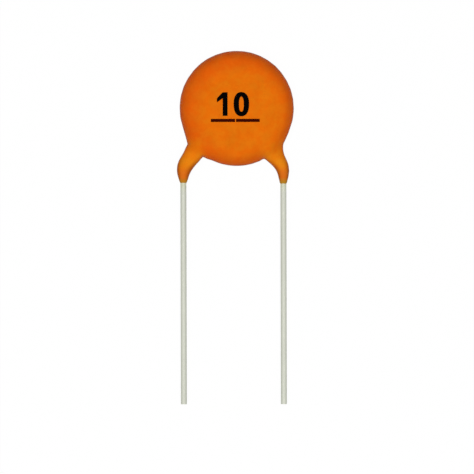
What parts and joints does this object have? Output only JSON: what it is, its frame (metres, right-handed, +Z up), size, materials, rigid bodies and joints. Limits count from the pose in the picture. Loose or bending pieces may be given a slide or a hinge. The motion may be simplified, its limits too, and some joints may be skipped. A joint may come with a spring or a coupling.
{
  "type": "ceramic disc capacitor",
  "caption": "Radial-lead ceramic disc capacitor: a dipped orange disc with a resin run down each lead and two long straight tinned leads.",
  "frame": {"origin": "on the floor, on the axis of the disc, in the middle of the flat back face of the coat", "axes": "the part lies on its back: +X across the two leads, +Y from the leads' tips to the disc, +Z up, along the disc's axis"},
  "size_m": [0.0117, 0.0353, 0.0031],
  "materials": {
    "coating": "satin dipped resin, slightly uneven",
    "ceramic": "matt sintered ceramic",
    "electrode": "matt fired silver",
    "solder": "bright solder",
    "lead": "satin tinned wire"
  },
  "bodies": {
    "root": {"coating": "coating", "ceramic_disc": "ceramic", "front_electrode": "electrode", "back_electrode": "electrode", "front_solder": "solder", "back_solder": "solder", "left_lead": "lead", "right_lead": "lead"}
  },
  "joints": []
}
